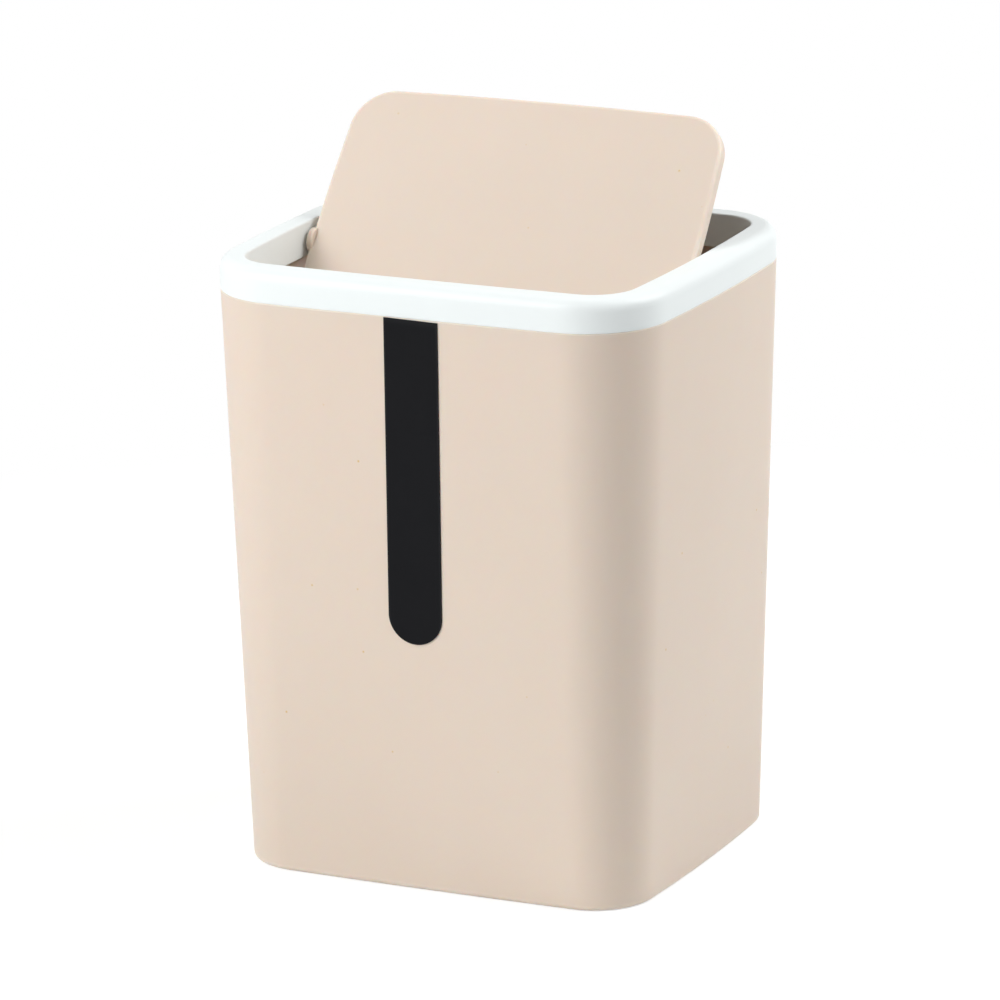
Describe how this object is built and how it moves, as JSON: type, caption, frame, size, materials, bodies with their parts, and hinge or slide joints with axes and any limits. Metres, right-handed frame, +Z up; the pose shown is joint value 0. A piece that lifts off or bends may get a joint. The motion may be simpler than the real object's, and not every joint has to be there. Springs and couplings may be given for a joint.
{
  "type": "desktop trash can",
  "caption": "Desktop trash can: tapered tub with bowed sides and rounded corners, white push-in top ring, swing lid on side pivots and a black label strip down the front.",
  "frame": {"origin": "middle of the base, on the surface that the bin stands on", "axes": "+X to the bin's right along its wide side, +Y to the back, away from the label strip, +Z up"},
  "size_m": [0.125, 0.1096, 0.1923],
  "materials": {
    "beige_plastic": "smooth satin moulded plastic",
    "white_plastic": "smooth moulded plastic with a soft gloss",
    "black_film": "flat black film"
  },
  "bodies": {
    "bin": {"bin_body": "beige_plastic", "label_strip": "black_film"},
    "rim": {"rim_ring": "white_plastic"},
    "lid": {"swing_lid": "beige_plastic"}
  },
  "joints": [
    {"name": "rim_lift", "type": "slide", "parent": "bin", "child": "rim", "axis": [0, 0, 1], "range_m": [0, 0.06]},
    {"name": "lid_swing", "type": "hinge", "parent": "rim", "child": "lid", "pos_m": [0, 0, 0.1566], "axis": [1, 0, 0], "range_deg": [-140.5, 39.5]}
  ]
}
